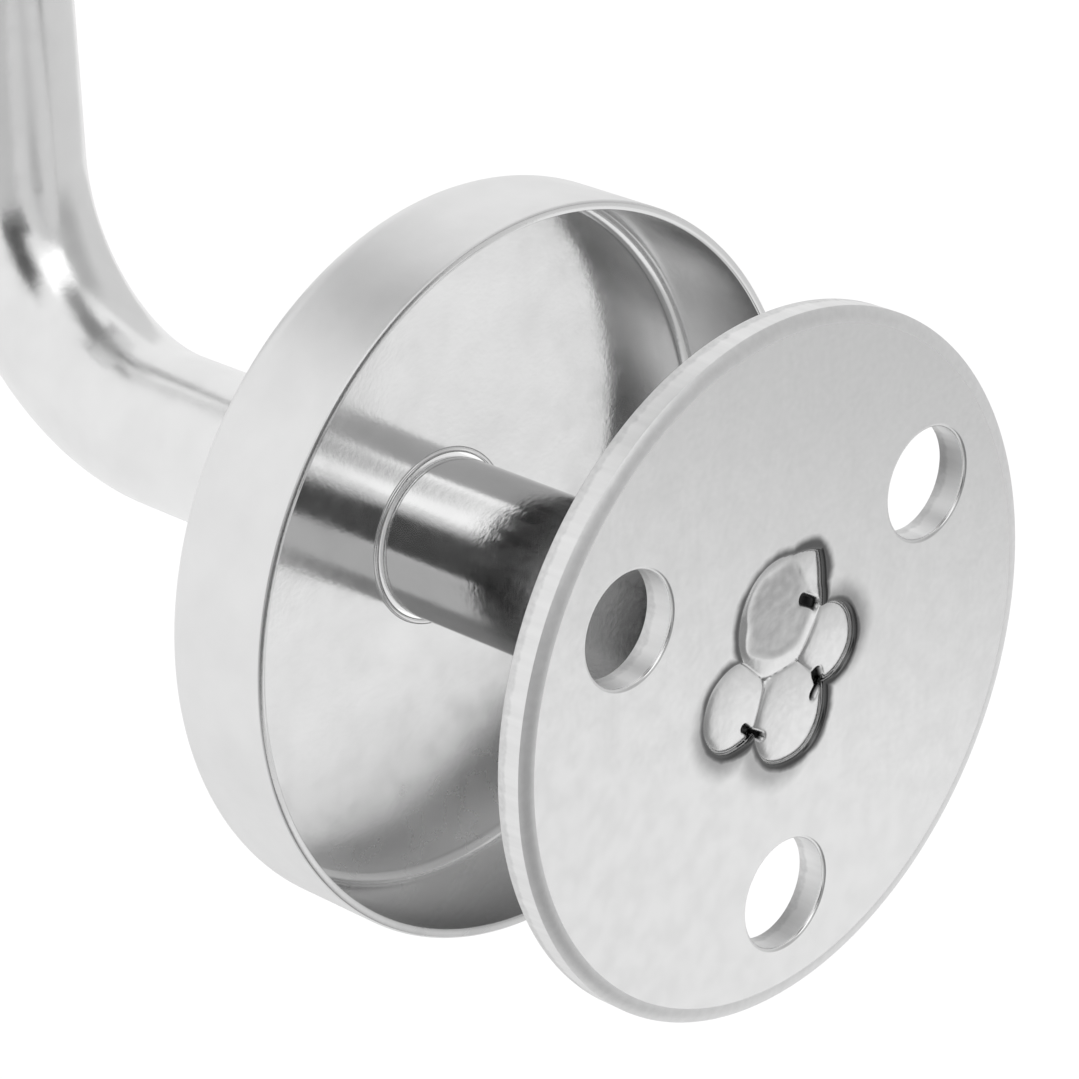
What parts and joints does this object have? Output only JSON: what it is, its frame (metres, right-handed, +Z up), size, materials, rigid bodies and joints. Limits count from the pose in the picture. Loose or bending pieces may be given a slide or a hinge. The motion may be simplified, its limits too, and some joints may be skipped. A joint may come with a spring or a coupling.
{
  "type": "handrail bracket",
  "caption": "Wall bracket for a round handrail: bent round bar welded to a drilled wall plate, curved rail saddle, sliding pressed cover.",
  "frame": {"origin": "centre of the wall plate's back face, on the wall plane", "axes": "+Y into the wall along the screw holes and the bar's straight run, +Z up along the riser, +X along the rail"},
  "size_m": [0.06, 0.0905, 0.0946],
  "materials": {
    "plate_steel": "satin, fine grain",
    "bar_steel": "polished stainless steel",
    "cover_steel": "polished stainless sheet, pressed",
    "weld_steel": "as welded, heat-tinted edges"
  },
  "bodies": {
    "bracket": {"base_plate": "plate_steel", "arm": "bar_steel", "wall_weld": "weld_steel", "saddle": "plate_steel", "saddle_weld": "weld_steel"},
    "cover": {"cover": "cover_steel"}
  },
  "joints": [
    {"name": "cover_slide", "type": "slide", "parent": "bracket", "child": "cover", "axis": [0, 1, 0], "range_m": [-0.027, 0.0225]}
  ]
}
